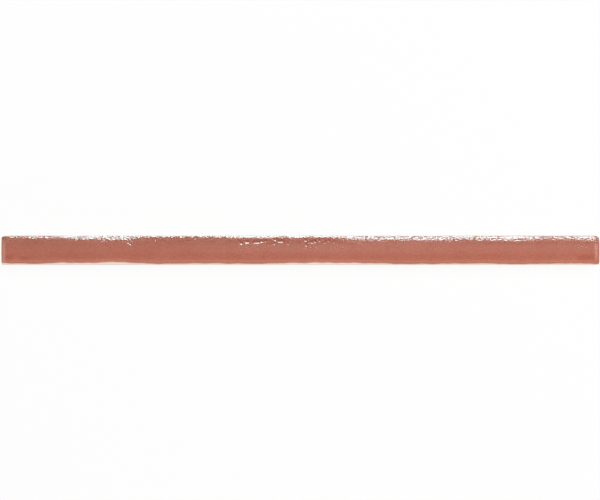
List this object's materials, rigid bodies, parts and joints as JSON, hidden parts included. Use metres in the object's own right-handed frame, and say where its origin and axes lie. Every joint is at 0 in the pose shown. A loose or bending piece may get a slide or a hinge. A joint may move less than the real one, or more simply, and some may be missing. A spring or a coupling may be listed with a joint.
{
  "type": "glazed skirting trim tile",
  "caption": "Slim glazed ceramic trim strip with a flat back and a rounded top long edge, for finishing or skirting a tiled wall.",
  "frame": {"origin": "centre of the flat back face, which the strip lies on", "axes": "+X along the strip, +Y towards the rounded top long edge, +Z out of the wall, through the glazed face"},
  "size_m": [0.246, 0.012, 0.0085],
  "materials": {
    "glazed_tile": null
  },
  "bodies": {
    "root": {"skirting_tile": "glazed_tile"}
  },
  "joints": []
}
